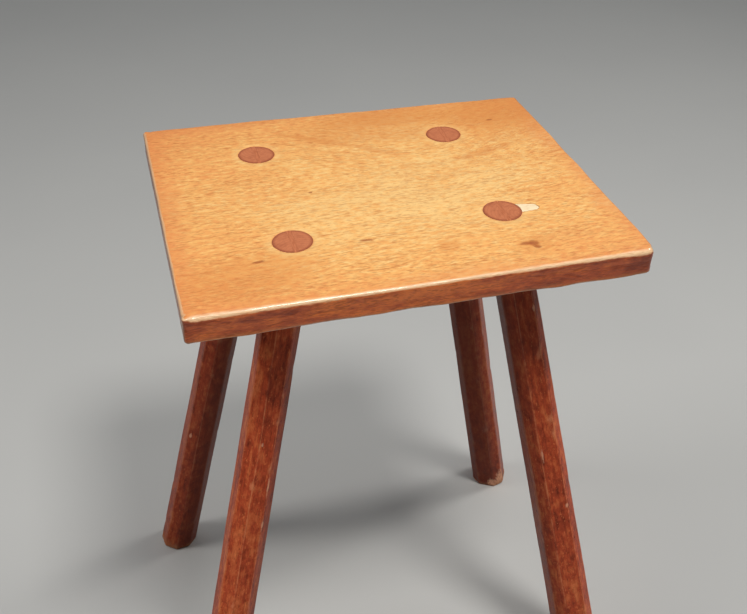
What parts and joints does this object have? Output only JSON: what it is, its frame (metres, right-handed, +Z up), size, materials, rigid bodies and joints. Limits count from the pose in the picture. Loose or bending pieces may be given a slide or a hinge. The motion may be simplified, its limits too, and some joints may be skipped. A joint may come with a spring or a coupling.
{
  "type": "staked stool",
  "caption": "Small rustic plank stool: rectangular oak seat board on splayed octagonal legs with wedged through tenons.",
  "frame": {"origin": "on the floor, under the middle of the footprint of the four feet", "axes": "+Z up; +X along the seat board's grain to the right; the front long edge faces -Y"},
  "size_m": [0.3734, 0.2661, 0.45],
  "materials": {
    "seat_oak": "old golden varnish, satin to gloss",
    "leg_stained_wood": "dark red-brown stain under worn varnish",
    "wedge_wood": "varnished end grain",
    "pale_filler": "matt filler, rubbed flush"
  },
  "bodies": {
    "root": {"seat_board": "seat_oak", "leg_front_left": "leg_stained_wood", "leg_front_right": "leg_stained_wood", "leg_back_left": "leg_stained_wood", "leg_back_right": "leg_stained_wood", "wedge_front_left": "wedge_wood", "wedge_front_right": "wedge_wood", "wedge_back_left": "wedge_wood", "wedge_back_right": "wedge_wood", "gap_filler": "pale_filler"}
  },
  "joints": []
}
